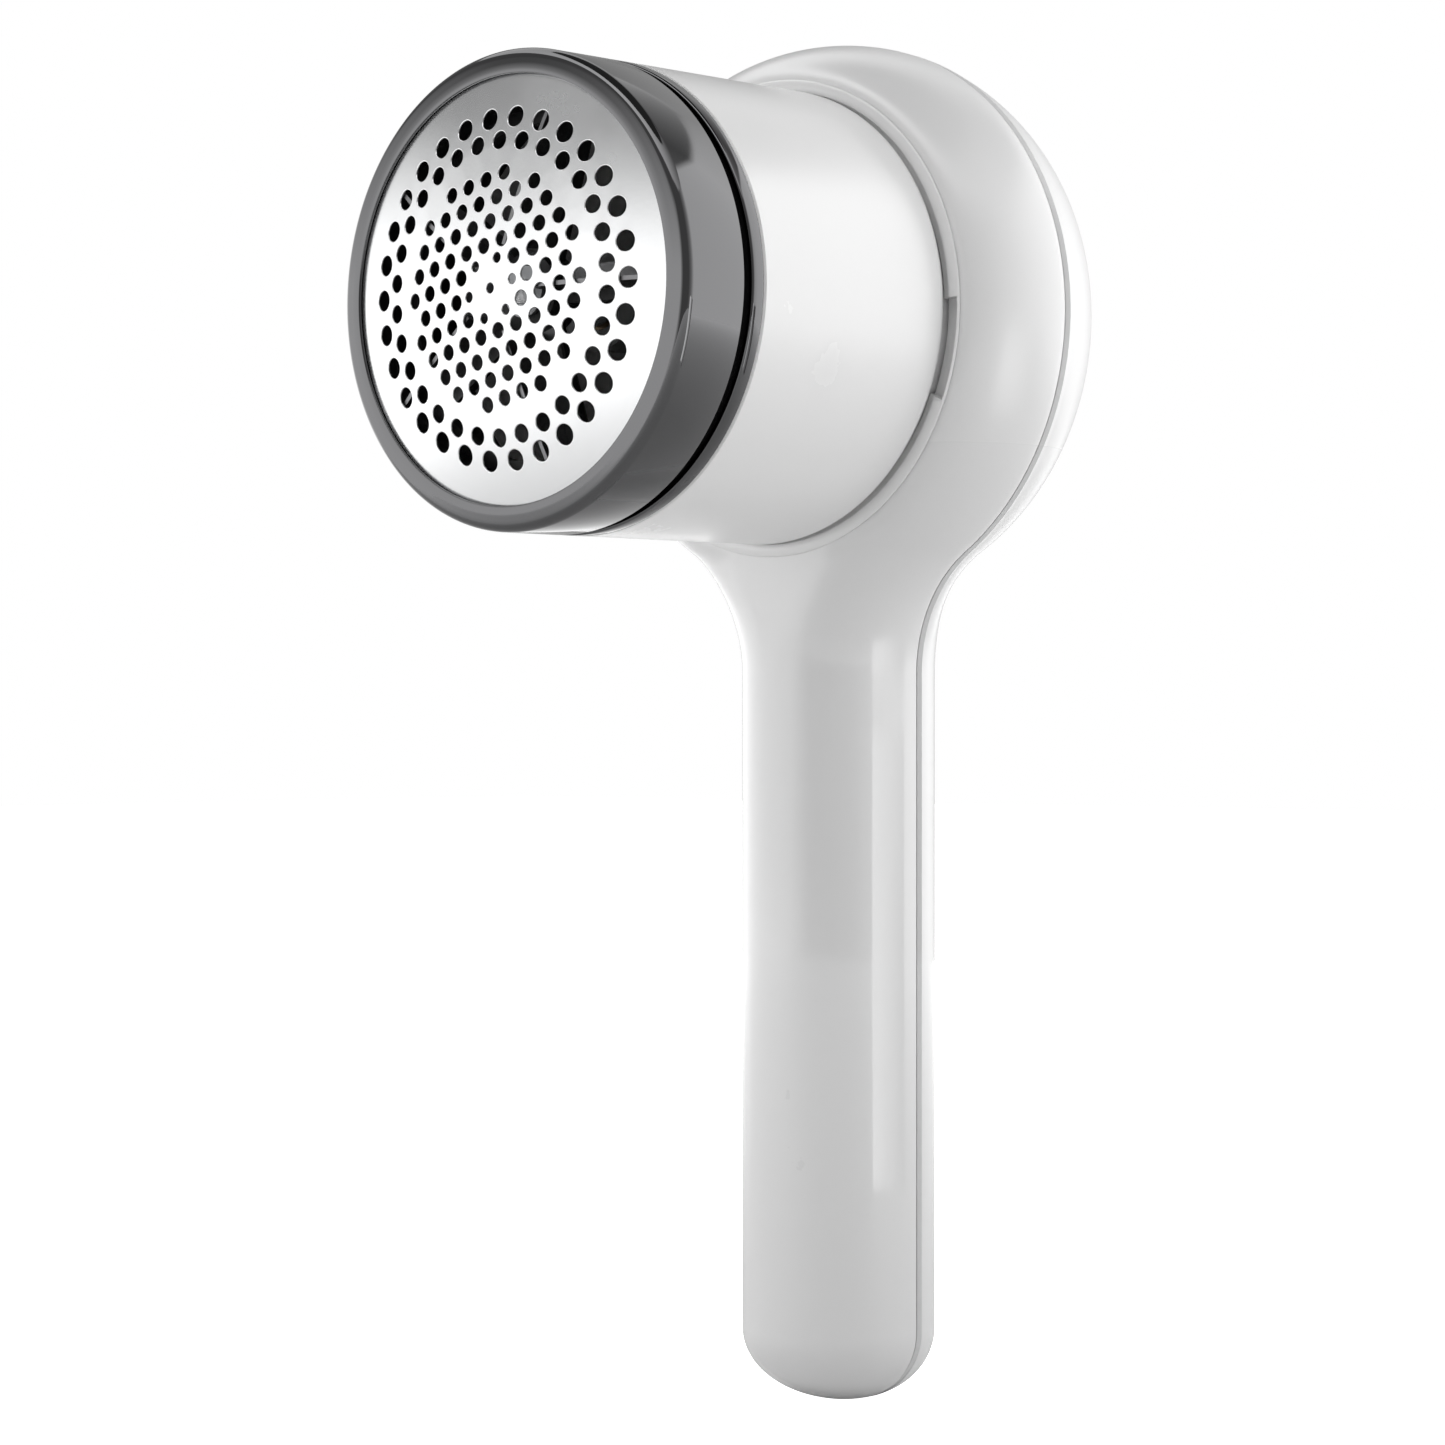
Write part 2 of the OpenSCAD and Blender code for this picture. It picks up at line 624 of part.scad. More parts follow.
guard_ring();
cutting_foil();
foil_frame();
bayonet_collar();
trim_ring();
lint_cup();
collar_ring();
front_housing();
rear_housing();
housing_screws();
bearing_tube();
shaft_bush();
motor_mount();
motor_screws();
motor_can();
motor_end_cap();
motor_sleeve();
motor_leads();
motor_shaft();
drive_coupling();
drive_shaft();
thrust_collar();
float_spring();
cutter_clip();
cutter_carrier();
cutter_blades();
main_pcb();
tact_switch();
switch_plunger();
power_button();
button_bezel();
indicator_led();
indicator_lens();
usb_socket();
battery_cell();
battery_tabs();
battery_pad();
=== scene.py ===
# %% [markdown]
# # Building a fabric shaver in Blender
# The part itself is already made as exact solids, one for every piece, in one shared frame. This
# script keeps that frame fixed and builds the finished look around it: smooth moulded shells, a
# plated guard ring, a perforated foil, and the materials, light and camera.

# %% Load the frame
import math
import bmesh
import bpy
from mathutils import Matrix, Vector


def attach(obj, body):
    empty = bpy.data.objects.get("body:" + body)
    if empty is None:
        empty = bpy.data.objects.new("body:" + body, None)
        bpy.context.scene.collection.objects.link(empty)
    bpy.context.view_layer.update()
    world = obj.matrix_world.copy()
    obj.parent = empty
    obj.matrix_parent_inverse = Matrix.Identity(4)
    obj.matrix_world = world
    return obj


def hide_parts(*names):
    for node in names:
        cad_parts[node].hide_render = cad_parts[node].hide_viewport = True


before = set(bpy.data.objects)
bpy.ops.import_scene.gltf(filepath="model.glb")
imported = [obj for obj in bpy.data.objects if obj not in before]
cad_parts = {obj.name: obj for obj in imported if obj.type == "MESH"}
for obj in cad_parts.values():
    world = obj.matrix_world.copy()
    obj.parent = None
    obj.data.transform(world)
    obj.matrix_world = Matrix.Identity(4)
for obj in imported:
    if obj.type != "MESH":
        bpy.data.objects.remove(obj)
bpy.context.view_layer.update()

# %% [markdown]
# The shaver is looked at from 42 degrees to its right, level with it, from about half a metre. A
# long lens keeps the upright grip's sides parallel, as a product picture does.

# %% Camera
VIEW_TURN = math.radians(42)
EYE_LEVEL = 0.085
lens = bpy.data.cameras.new("camera")
lens.lens, lens.sensor_width = 103.33, 36
camera = bpy.data.objects.new("camera", lens)
camera.location = (0.3392, -0.375225, EYE_LEVEL)
camera.rotation_euler = (math.radians(90), 0, VIEW_TURN)
bpy.context.scene.collection.objects.link(camera)
bpy.context.scene.camera = camera

# %% [markdown]
# Nearly every piece is round about one line, the cutter's axis. So pieces are drawn in millimetres
# round that line, with y as the depth behind the foil's edge, and one helper takes a finished
# mesh to its place in the shared frame, in metres.

# %% Place and finish a piece
AXIS_HEIGHT = 135.0
FOIL_Y = -35.475
finishes = {}


def place(bm):
    """Millimetres about the cutter's axis become metres in the shared frame."""
    bmesh.ops.translate(bm, verts=bm.verts, vec=(0, FOIL_Y, AXIS_HEIGHT))
    bmesh.ops.scale(bm, verts=bm.verts, vec=(0.001, 0.001, 0.001))


def finish_piece(name, bm, body, finish, nodes, crease=38):
    """Turns a bmesh into a named piece that rides on its body and stands for its solids."""
    place(bm)
    mesh = bpy.data.meshes.new(name)
    bm.to_mesh(mesh)
    bm.free()
    mesh.shade_smooth()
    mesh.set_sharp_from_angle(angle=math.radians(crease))
    mesh.materials.append(finishes[finish])
    obj = bpy.data.objects.new(name, mesh)
    bpy.context.scene.collection.objects.link(obj)
    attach(obj, body)
    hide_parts(*nodes)
    print(name, len(mesh.polygons), "faces")
    return obj


# %% [markdown]
# A turned or moulded round piece is a profile spun about its axis, as on a lathe. Corners on real
# pieces are never knife sharp, so each hard edge gets a small bevel, which is what catches light.

# %% Spin a profile and soften its edges
ROUND_STEPS = 180


def spin_profile(points, steps=ROUND_STEPS, closed=True):
    """Points are [radius, depth]; a profile that starts and ends on the axis isn't closed."""
    bm = bmesh.new()
    verts = [bm.verts.new((r, d, 0)) for r, d in points]
    ends = verts[1:] + (verts[:1] if closed else [])
    edges = [bm.edges.new(pair) for pair in zip(verts, ends)]
    bmesh.ops.spin(bm, geom=verts + edges, cent=(0, 0, 0), axis=(0, 1, 0), angle=math.tau,
                   steps=steps, use_merge=True)
    bmesh.ops.remove_doubles(bm, verts=bm.verts, dist=0.0005)
    bmesh.ops.recalc_face_normals(bm, faces=bm.faces)
    return bm


def soften(bm, width, segments=2, angle=38):
    """Bevels the edges that are sharper than the angle."""
    sharp = [e for e in bm.edges if len(e.link_faces) == 2
             and e.calc_face_angle() > math.radians(angle)]
    bmesh.ops.bevel(bm, geom=sharp, offset=width, segments=segments, profile=0.5,
                    affect="EDGES", material=-1, clamp_overlap=True)
    return bm


def arc(centre, radius, start, stop, n=8):
    """Points along a rounded corner; angles in degrees."""
    angles = [math.radians(start + (stop - start) * i / n) for i in range(n + 1)]
    return [(centre[0] + radius * math.cos(a), centre[1] + radius * math.sin(a)) for a in angles]


# %% [markdown]
# Some shapes are cut out of others, as a mould or a drill would: the bore in the head, the notch
# for a fingertip, the bayonet's grooves. A Boolean modifier does it, and its result is kept.

# %% Cut shapes away
def cut_away(bm, *cutters):
    """Takes closed shapes away from a closed shape, and gives the result."""
    holders = []
    for shape in (bm,) + cutters:
        mesh = bpy.data.meshes.new("cutting")
        shape.to_mesh(mesh)
        shape.free()
        holders.append(bpy.data.objects.new("cutting", mesh))
        bpy.context.scene.collection.objects.link(holders[-1])
    for cutter in holders[1:]:
        cutting = holders[0].modifiers.new("cut", "BOOLEAN")
        cutting.operation, cutting.solver, cutting.object = "DIFFERENCE", "EXACT", cutter
    bpy.context.view_layer.update()
    graph = bpy.context.evaluated_depsgraph_get()
    result = bmesh.new()
    result.from_mesh(holders[0].evaluated_get(graph).to_mesh())
    for obj in holders:
        mesh = obj.data
        bpy.data.objects.remove(obj)
        bpy.data.meshes.remove(mesh)
    bmesh.ops.remove_doubles(result, verts=result.verts, dist=0.0005)
    return result


def drill(radius, start, stop, x=0.0, z=0.0, steps=64):
    """A closed rod along the axis, to cut a round hole."""
    bm = spin_profile([(0, start), (radius, start), (radius, stop), (0, stop)], steps, False)
    bmesh.ops.translate(bm, verts=bm.verts, vec=(x, 0, z))
    return bm


# %% [markdown]
# Finishes come first, so that each piece can take one. Effects that several finishes share are
# node groups: a fine grain that a moulding tool leaves, and the faint marks of handling, which
# change only how rough the surface is.

# %% Shared effects
def new_group(name, inputs, outputs):
    group = bpy.data.node_groups.new(name, "ShaderNodeTree")
    for label, value in inputs:
        socket = group.interface.new_socket(label, in_out="INPUT", socket_type="NodeSocketFloat")
        socket.default_value = value
    for label in outputs:
        group.interface.new_socket(label, in_out="OUTPUT", socket_type="NodeSocketFloat")
    return group, group.nodes.new("NodeGroupInput"), group.nodes.new("NodeGroupOutput")


def moulded_grain():
    """Height: very fine grain over a slow unevenness, as on a moulded skin."""
    group, given, out = new_group("moulded grain", [("Grain Scale", 2500), ("Wave Scale", 60),
                                                    ("Wave Share", 0.3)], ["Height"])
    node, link = group.nodes.new, group.links.new
    place_node = node("ShaderNodeTexCoord")
    grain, wave, mix = node("ShaderNodeTexNoise"), node("ShaderNodeTexNoise"), node("ShaderNodeMix")
    wave.inputs["Detail"].default_value = 1
    for texture, label in ((grain, "Grain Scale"), (wave, "Wave Scale")):
        link(place_node.outputs["Object"], texture.inputs["Vector"])
        link(given.outputs[label], texture.inputs["Scale"])
    link(given.outputs["Wave Share"], mix.inputs[0])
    link(grain.outputs["Fac"], mix.inputs[2])
    link(wave.outputs["Fac"], mix.inputs[3])
    link(mix.outputs[0], out.inputs["Height"])
    return group


def handling_marks():
    """Roughness: between two values, in soft patches with a few finer marks."""
    group, given, out = new_group("handling marks", [("Patch Scale", 45), ("Smooth", 0.3),
                                                     ("Rough", 0.4)], ["Roughness"])
    node, link = group.nodes.new, group.links.new
    place_node, patches = node("ShaderNodeTexCoord"), node("ShaderNodeTexNoise")
    patches.inputs["Detail"].default_value = 6
    patches.inputs["Roughness"].default_value = 0.6
    spread = node("ShaderNodeMapRange")
    spread.inputs["From Min"].default_value, spread.inputs["From Max"].default_value = 0.3, 0.7
    link(place_node.outputs["Object"], patches.inputs["Vector"])
    link(given.outputs["Patch Scale"], patches.inputs["Scale"])
    link(patches.outputs["Fac"], spread.inputs["Value"])
    link(given.outputs["Smooth"], spread.inputs["To Min"])
    link(given.outputs["Rough"], spread.inputs["To Max"])
    link(spread.outputs["Result"], out.inputs["Roughness"])
    return group


def turning_lines():
    """Height: fine rings about the cutter's axis, as a lathe or a polishing wheel leaves."""
    group, given, out = new_group("turning lines", [("Line Scale", 900)], ["Height"])
    node, link = group.nodes.new, group.links.new
    place_node, shift, rings = (node("ShaderNodeTexCoord"), node("ShaderNodeMapping"),
                                node("ShaderNodeTexWave"))
    shift.inputs["Location"].default_value = (0, 0, -AXIS_HEIGHT / 1000)
    rings.wave_type, rings.rings_direction = "RINGS", "Y"
    rings.inputs["Distortion"].default_value = 1.5
    rings.inputs["Detail"].default_value = 3
    link(place_node.outputs["Object"], shift.inputs["Vector"])
    link(shift.outputs["Vector"], rings.inputs["Vector"])
    link(given.outputs["Line Scale"], rings.inputs["Scale"])
    link(rings.outputs["Fac"], out.inputs["Height"])
    return group


def tint_patches():
    """Tint: a share from 0 to 1 that drifts slowly over the surface, to vary a colour."""
    group, given, out = new_group("tint patches", [("Patch Scale", 30)], ["Tint"])
    node, link = group.nodes.new, group.links.new
    place_node, patches = node("ShaderNodeTexCoord"), node("ShaderNodeTexNoise")
    link(place_node.outputs["Object"], patches.inputs["Vector"])
    link(given.outputs["Patch Scale"], patches.inputs["Scale"])
    link(patches.outputs["Fac"], out.inputs["Tint"])
    return group


def gloss_by_height():
    """Roughness: one value below a height and another above it, with a smooth change."""
    group, given, out = new_group("gloss by height", [("Low", 0.08), ("High", 0.1),
                                                      ("Below", 0.05), ("Above", 0.3)],
                                  ["Roughness"])
    node, link = group.nodes.new, group.links.new
    place_node, parts, change = (node("ShaderNodeTexCoord"), node("ShaderNodeSeparateXYZ"),
                                 node("ShaderNodeMapRange"))
    change.interpolation_type = "SMOOTHSTEP"
    link(place_node.outputs["Object"], parts.inputs["Vector"])
    link(parts.outputs["Z"], change.inputs["Value"])
    for label, socket in (("Low", "From Min"), ("High", "From Max"), ("Below", "To Min"),
                          ("Above", "To Max")):
        link(given.outputs[label], change.inputs[socket])
    link(change.outputs["Result"], out.inputs["Roughness"])
    return group


GRAIN, MARKS, LINES, TINT = moulded_grain(), handling_marks(), turning_lines(), tint_patches()
GLOSS = gloss_by_height()

# %% [markdown]
# Every finish is a Principled shader with its own plain values on its own sockets. The groups
# vary its colour a little, its roughness a little, and give it a height for a small bump.

# %% A finish from its plain values
def new_finish(name, colour, shade, smooth, rough, metal=0.0, bump=0.05, grain=2500.0, wave=60.0,
               wave_share=0.3, lines=0.0, marks=45.0, sockets=None):
    material = bpy.data.materials.new(name)
    material.use_nodes = True
    nodes, link = material.node_tree.nodes, material.node_tree.links.new
    shader = nodes["Principled BSDF"]
    shader.inputs["Metallic"].default_value = metal
    for label, value in (sockets or {}).items():
        shader.inputs[label].default_value = value

    def add(group, **values):
        node = nodes.new("ShaderNodeGroup")
        node.node_tree = group
        for label, value in values.items():
            node.inputs[label.replace("_", " ")].default_value = value
        return node

    tint = add(TINT, Patch_Scale=marks)
    colours = nodes.new("ShaderNodeMix")
    colours.data_type = "RGBA"
    colours.inputs[6].default_value = (*colour, 1)
    colours.inputs[7].default_value = (*shade, 1)
    link(tint.outputs["Tint"], colours.inputs[0])
    link(colours.outputs[2], shader.inputs["Base Color"])
    worn = add(MARKS, Patch_Scale=marks, Smooth=smooth, Rough=rough)
    link(worn.outputs["Roughness"], shader.inputs["Roughness"])
    height = (add(LINES, Line_Scale=lines) if lines else
              add(GRAIN, Grain_Scale=grain, Wave_Scale=wave, Wave_Share=wave_share))
    relief = nodes.new("ShaderNodeBump")
    relief.inputs["Strength"].default_value = bump
    relief.inputs["Distance"].default_value = 0.0001
    link(height.outputs["Height"], relief.inputs["Height"])
    link(relief.outputs["Normal"], shader.inputs["Normal"])
    finishes[name] = material
    return material


# %% [markdown]
# White pieces are polished ABS, with a hair of difference between the shells and the cup. The
# guard and trim rings are plated with black chrome: a mirror that gives back about a third of
# the light. The foil is etched nickel steel, brighter and a little softer. Gloss on the shells
# changes with height: the grip is polished until it mirrors, and the head is only satin.

# %% The outside finishes
polish = {"Coat Weight": 1.0, "Coat Roughness": 0.28, "Coat IOR": 1.5}
shell = new_finish("shell white", (0.75, 0.75, 0.75), (0.735, 0.735, 0.737), 0.27, 0.34,
                   bump=0.06, sockets=polish).node_tree
gloss = shell.nodes.new("ShaderNodeGroup")
gloss.node_tree = GLOSS
for label, value in (("Low", 0.07), ("High", 0.13), ("Below", 0.02), ("Above", 0.3)):
    gloss.inputs[label].default_value = value
shell.links.new(gloss.outputs["Roughness"], shell.nodes["Principled BSDF"].inputs["Coat Roughness"])
new_finish("cup white", (0.79, 0.79, 0.79), (0.775, 0.775, 0.775), 0.22, 0.28, bump=0.04,
           sockets=polish)
new_finish("lip white", (0.80, 0.80, 0.80), (0.79, 0.79, 0.79), 0.18, 0.24, bump=0.03,
           sockets=polish)
new_finish("black chrome", (0.128, 0.128, 0.131), (0.118, 0.118, 0.121), 0.035, 0.075, metal=1,
           bump=0.02, wave=25, wave_share=0.9)
new_finish("foil steel", (0.75, 0.755, 0.76), (0.71, 0.715, 0.72), 0.2, 0.28, metal=1,
           bump=0.04, grain=1800)
new_finish("black plastic", (0.018, 0.018, 0.019), (0.03, 0.03, 0.031), 0.3, 0.45, bump=0.15)
new_finish("grey plastic", (0.30, 0.305, 0.31), (0.26, 0.265, 0.27), 0.35, 0.5, bump=0.15)

# %% [markdown]
# Inside there are plated screws, a motor can, ground steel, a bronze bush, rubber, a circuit
# board and a shrink-wrapped cell. They show in the open poses and through the foil's holes.

# %% The inside finishes
new_finish("zinc steel", (0.62, 0.63, 0.64), (0.52, 0.53, 0.55), 0.22, 0.42, metal=1, bump=0.15)
new_finish("motor steel", (0.50, 0.50, 0.49), (0.42, 0.42, 0.41), 0.28, 0.5, metal=1, bump=0.2)
new_finish("ground steel", (0.66, 0.66, 0.67), (0.55, 0.55, 0.56), 0.16, 0.3, metal=1, bump=0.12,
           lines=1400)
new_finish("blade steel", (0.24, 0.24, 0.245), (0.18, 0.18, 0.185), 0.3, 0.45, metal=1, bump=0.12,
           lines=1400)
new_finish("bronze", (0.30, 0.23, 0.16), (0.24, 0.18, 0.12), 0.3, 0.5, metal=1, bump=0.2)
new_finish("black rubber", (0.02, 0.02, 0.02), (0.035, 0.035, 0.035), 0.6, 0.8, bump=0.4)
new_finish("lead rubber", (0.45, 0.03, 0.02), (0.38, 0.025, 0.02), 0.4, 0.55, bump=0.1)
new_finish("board green", (0.012, 0.11, 0.035), (0.02, 0.15, 0.05), 0.3, 0.45, bump=0.3,
           grain=900)
new_finish("cell wrap", (0.02, 0.11, 0.32), (0.015, 0.09, 0.27), 0.2, 0.35, bump=0.25, wave=140,
           wave_share=0.9)
new_finish("clear lens", (0.9, 0.93, 0.95), (0.86, 0.9, 0.92), 0.12, 0.2, bump=0.03,
           sockets={"Transmission Weight": 0.85, "IOR": 1.49})
print(len(finishes), "finishes")

# %% Give the inner solids their finishes
worn_by = {
    "black plastic": ["foil_frame", "cutter_carrier", "tact_switch", "switch_plunger",
                      "motor_end_cap", "battery_pad"],
    "grey plastic": ["bearing_tube", "motor_mount"],
    "zinc steel": ["housing_screws", "motor_screws", "usb_socket", "battery_tabs",
                   "cutter_clip"],
    "motor steel": ["motor_can"],
    "blade steel": ["cutter_blades"],
    "ground steel": ["drive_shaft", "motor_shaft", "thrust_collar",
                     "float_spring", "drive_coupling"],
    "bronze": ["shaft_bush"],
    "black rubber": ["motor_sleeve"],
    "lead rubber": ["motor_leads"],
    "board green": ["main_pcb"],
    "cell wrap": ["battery_cell"],
    "clear lens": ["indicator_led", "indicator_lens"],
}
for finish, names in worn_by.items():
    for name in names:
        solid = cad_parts[name]
        if not solid.material_slots:
            solid.data.materials.append(None)
        for holder in solid.material_slots:
            holder.material = finishes[finish]

# %% [markdown]
# ## The two shells
# Head and grip are one soft shape, split front and back at a seam. Every level slice is known:
# a lens-like slice of the round head above, and an oval in the grip, with a smooth neck between.
# A plain grid is wrapped onto those slices. That beats sculpting, because both shells, the collar
# and the solids then agree to a hundredth of a millimetre.

# %% The shape of head and grip
HEAD_R, FACE_R, BACK_R = 35.0, 29.5, 25.2
FACE, WIDE, SEAM, BACK = 46.6, 58.6, 60.6, 74.0
GRIP_HALF, GRIP_FRONT, GRIP_BACK = 11.66, 46.3, 69.7
NECK_R, END_ROUND, END_TURN = 18.0, 9.0, 75.0
NOSE_P, GRIP_P, BACK_FALL = 1.85, 2.2, 7.3
reach = HEAD_R + NECK_R
neck_z = -math.sqrt(reach ** 2 - (GRIP_HALF + NECK_R) ** 2)
join_z = neck_z * HEAD_R / reach
round_z = END_ROUND - AXIS_HEIGHT


def fullness(t):
    """Falls from 1 to 0 along a full, squarish curve as t goes from 0 to 1."""
    return (1 - min(max(t, 0), 1) ** NOSE_P) ** (1 / NOSE_P)


def radius_at(d):
    """Radius of the round head at a depth."""
    if d < WIDE:
        return FACE_R + (HEAD_R - FACE_R) * fullness((WIDE - d) / (WIDE - FACE))
    return BACK_R + (HEAD_R - BACK_R) * fullness((d - WIDE) / (BACK - WIDE))


def head_near(z):
    """Depth of the head's front outline at a height; head_far is the back one."""
    return WIDE - (WIDE - FACE) * fullness((abs(z) - FACE_R) / (HEAD_R - FACE_R))


def head_far(z):
    return WIDE + (BACK - WIDE) * fullness((abs(z) - BACK_R) / (HEAD_R - BACK_R))


def head_x(d, z):
    return math.sqrt(max(radius_at(d) ** 2 - z * z, 0))


def neck_x(z):
    """Half width seen from the front, below the head: a round neck, then the straight grip."""
    if z < neck_z:
        return GRIP_HALF
    return GRIP_HALF + NECK_R - math.sqrt(NECK_R ** 2 - (z - neck_z) ** 2)


def turn_in(z):
    """Goes smoothly from 0 where the neck leaves the head to 1 where the grip begins."""
    t = min(1, max(0, join_z - z) / (join_z - neck_z))
    return t * t * (3 - 2 * t)


def end_scale(z):
    """Shrinks the slices round the end of the grip."""
    if z > round_z:
        return 1
    return math.sqrt(1 - ((round_z - z) / END_ROUND * math.sin(math.radians(END_TURN))) ** 2)


def near(z):
    """Depth of the whole front outline at a height; far is the back one."""
    if z > join_z:
        return head_near(z)
    return SEAM - (SEAM - GRIP_FRONT - (FACE - GRIP_FRONT) * (1 - turn_in(z))) * end_scale(z)


def far(z):
    if z > join_z:
        return head_far(z)
    run_out = max(0, 1 - (join_z - z) / BACK_FALL) ** 2
    return SEAM + (GRIP_BACK - SEAM + (head_far(join_z) - GRIP_BACK) * run_out) * end_scale(z)


def section_x(z, f, d, front):
    """Half width of the slice at height z, where f runs from 0 at the seam to 1 at its end."""
    if z > join_z:
        return head_x(d, z)
    k, s = turn_in(z), math.sin(math.pi / 2 * f)
    grip = neck_x(z) * max(0, 1 - s ** GRIP_P) ** (1 / GRIP_P)
    end = head_near(join_z) if front else head_far(join_z)
    head = head_x(SEAM + (end - SEAM) * s, join_z) * neck_x(z) / neck_x(join_z)
    return (k * grip + (1 - k) * head) * end_scale(z)


def heights(top):
    """Levels of the slices, from the top of the head down to the end of the grip."""
    last = math.acos(join_z / top)
    head = [top * math.cos(last * i / 72) for i in range(73)]
    neck = [join_z + (neck_z - join_z) * i / 14 for i in range(1, 15)]
    grip = [neck_z + (round_z - neck_z) * i / 16 for i in range(1, 17)]
    turn = math.radians(END_TURN)
    end = [round_z - END_ROUND * math.sin(turn * i / 20) / math.sin(turn) for i in range(1, 21)]
    return head + neck + grip + end


# %% [markdown]
# The seam shows as a fine groove. Each shell's edge is chamfered by two fifths of a millimetre, so
# the two chamfers make a V that shades itself, and a hairline gap stays at its bottom.

# %% Wrap a grid onto the slices
SIDE = 26              # faces from the seam to the middle of a shell
CHAMFER = 0.42
SEAM_GAP = 0.14


def half_body(front):
    """One closed half of head and grip, cut at the seam."""
    seam_r = radius_at(SEAM)
    levels = heights(HEAD_R if front else seam_r)
    if front:                                   # one slice goes exactly where the seam starts
        nearest = min(range(len(levels)), key=lambda i: abs(levels[i] - seam_r))
        levels[nearest] = seam_r
    toward = -1 if front else 1
    columns, rows = 2 * SIDE + 2, len(levels)
    bm = bmesh.new()
    bmesh.ops.create_grid(bm, x_segments=columns, y_segments=rows, size=1)
    for v in bm.verts:
        column = round((v.co.x + 1) / 2 * columns)
        row = round((1 - v.co.y) / 2 * rows)
        z = levels[min(row, rows - 1)]
        t = min(max((column - 1) / (columns - 2) * 2 - 1, -1), 1)
        f = 1 - abs(t)
        start, end = min(SEAM, far(z)), near(z) if front else far(z)
        d = start + (end - start) * math.sin(math.pi / 2 * f)
        x = section_x(z, f, d, front)
        if z >= seam_r - 1e-6 and f == 0 or row == 0:
            x = 0
        elif column in (0, columns):
            x, d = max(0, x - CHAMFER), SEAM + toward * SEAM_GAP
        elif f == 0:
            d = SEAM + toward * (SEAM_GAP + CHAMFER)
        if row == rows:                         # the small flat at the end of the grip
            x, d = 0, SEAM + toward * SEAM_GAP
        v.co = (math.copysign(x, t), d, z)
    bmesh.ops.remove_doubles(bm, verts=bm.verts, dist=0.002)
    bmesh.ops.edgeloop_fill(bm, edges=[e for e in bm.edges if e.is_boundary])
    bmesh.ops.recalc_face_normals(bm, faces=bm.faces)
    return bm


# %% [markdown]
# Both shells are hollow. The head has a round room for the motor behind a bulkhead, and the grip
# has a channel for cell and board, so cutters of those shapes hollow them out.

# %% Hollow shapes
GRIP_WALL = 1.85


def channel(depth_end):
    """Hollow of the grip on one side of the seam: the grip's own oval, one wall smaller."""
    bm = bmesh.new()
    half = GRIP_HALF - GRIP_WALL
    b = depth_end - SEAM
    outline = [(half, SEAM - math.copysign(1, b))]
    for i in range(13):
        s = math.sin(math.pi / 24 * i)
        outline.append((half * max(0, 1 - s ** GRIP_P) ** (1 / GRIP_P), SEAM + b * s))
    outline += [(-x, d) for x, d in reversed(outline[:-1])]
    verts = [bm.verts.new((x, d, -20)) for x, d in outline]
    face = bm.faces.new(verts)
    grown = bmesh.ops.extrude_face_region(bm, geom=[face])
    moved = [v for v in grown["geom"] if isinstance(v, bmesh.types.BMVert)]
    bmesh.ops.translate(bm, verts=moved, vec=(0, 0, round_z - 1 + 20))
    bmesh.ops.recalc_face_normals(bm, faces=bm.faces)
    return bm


def finger_notch():
    """Pocket beside the cup, from just above level to 23 degrees below it, on the right."""
    bm = bmesh.new()
    corners = [(26.45, 45.5), (29.2, 45.5), (29.2, 47.8), (26.45, 47.8)]
    section = bm.faces.new([bm.verts.new((r, d, 0)) for r, d in corners])
    bmesh.ops.rotate(bm, verts=bm.verts, cent=(0, 0, 0),
                     matrix=Matrix.Rotation(math.radians(-1.6), 3, "Y"))
    bmesh.ops.spin(bm, geom=[section], cent=(0, 0, 0), axis=(0, 1, 0),
                   angle=math.radians(24.6), steps=24)
    bmesh.ops.recalc_face_normals(bm, faces=bm.faces)
    return bm


# %% Front shell
front = cut_away(
    half_body(True),
    spin_profile([(0, 50.8), (32, 50.8), (32, 62), (0, 62)], closed=False),
    channel(GRIP_FRONT + GRIP_WALL),
    drill(26.7, 40, 49, steps=ROUND_STEPS), drill(28.4, 40, 48.55, steps=ROUND_STEPS),
    drill(6.05, 48, 52), finger_notch())
finish_piece("front_shell", front, "housing", "shell white", ["front_housing"])

# %% [markdown]
# The rear shell has a stepped well for the button, a pocket for each screw, a hole for the
# light pipe and, in its end, a mouth for the charging socket.

# %% Rear shell
def socket_mouth():
    """Closed oval block through the grip's end, for the charging socket."""
    bm = bmesh.new()
    half, r = 4.7, 1.85
    outline = [(x + r * math.cos(a), 64.45 + r * math.sin(a))
               for x, turn in ((half - r, -90), (r - half, 90))
               for a in (math.radians(turn + 180 * i / 12) for i in range(13))]
    face = bm.faces.new([bm.verts.new((x, d, -137)) for x, d in outline])
    grown = bmesh.ops.extrude_face_region(bm, geom=[face])
    moved = [v for v in grown["geom"] if isinstance(v, bmesh.types.BMVert)]
    bmesh.ops.translate(bm, verts=moved, vec=(0, 0, 13))
    bmesh.ops.recalc_face_normals(bm, faces=bm.faces)
    return bm


OUTSIDE = 76                               # a depth behind the whole rear shell
SCREW_POCKETS = ((70, 18.5, 12), (70, -18.5, 12), (66.4, 0, -38))      # bottom, x and height
BUTTON_Z, LENS_Z = -58, -112
rear = cut_away(
    half_body(False),
    spin_profile([(0, 59), (32, 59), (32, 66), (27, 72.2), (0, 72.2)], closed=False),
    channel(GRIP_BACK - GRIP_WALL),
    *(drill(2.5, bottom, OUTSIDE, x, z) for bottom, x, z in SCREW_POCKETS),
    drill(6, 60, OUTSIDE, 0, BUTTON_Z, steps=96), drill(1.55, 60, OUTSIDE, 0, LENS_Z),
    socket_mouth())
finish_piece("rear_shell", rear, "housing", "shell white", ["rear_housing"])

